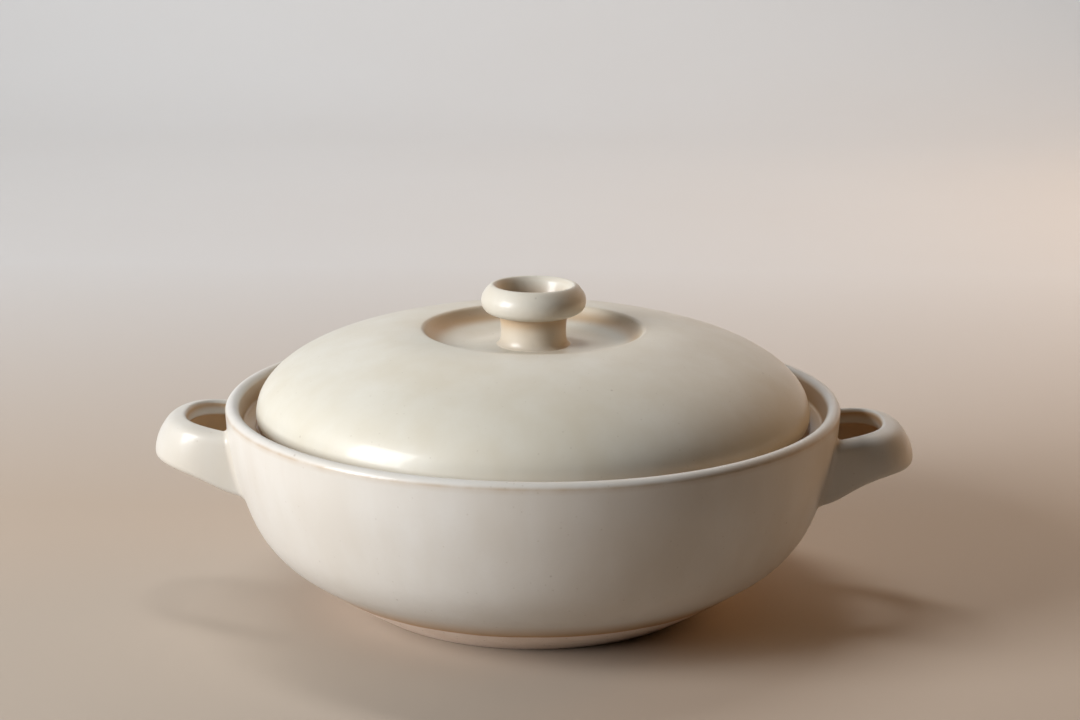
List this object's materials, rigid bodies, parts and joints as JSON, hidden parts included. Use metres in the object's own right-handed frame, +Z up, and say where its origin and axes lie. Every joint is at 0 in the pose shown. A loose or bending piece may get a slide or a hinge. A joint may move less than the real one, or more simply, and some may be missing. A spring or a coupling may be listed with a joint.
{
  "type": "covered casserole dish",
  "caption": "Round stoneware casserole bowl with loop handles and a domed lid that lifts off by a hollow knob.",
  "frame": {"origin": "centre of the foot ring, on the surface that the bowl stands on", "axes": "+Z up, +X from the axis of the bowl towards the right-hand handle, +Y away from the viewer at the back"},
  "size_m": [0.33, 0.265, 0.139],
  "materials": {
    "bowl_glaze": "satin",
    "handle_glaze": "satin",
    "lid_glaze": "satin",
    "knob_glaze": "satin"
  },
  "bodies": {
    "bowl": {"bowl_body": "bowl_glaze", "handle_left": "handle_glaze", "handle_right": "handle_glaze"},
    "lid": {"lid_dome": "lid_glaze", "lid_knob": "knob_glaze"}
  },
  "joints": [
    {"name": "lid_lift", "type": "slide", "parent": "bowl", "child": "lid", "axis": [0, 0, 1], "range_m": [0, 0.14]}
  ]
}
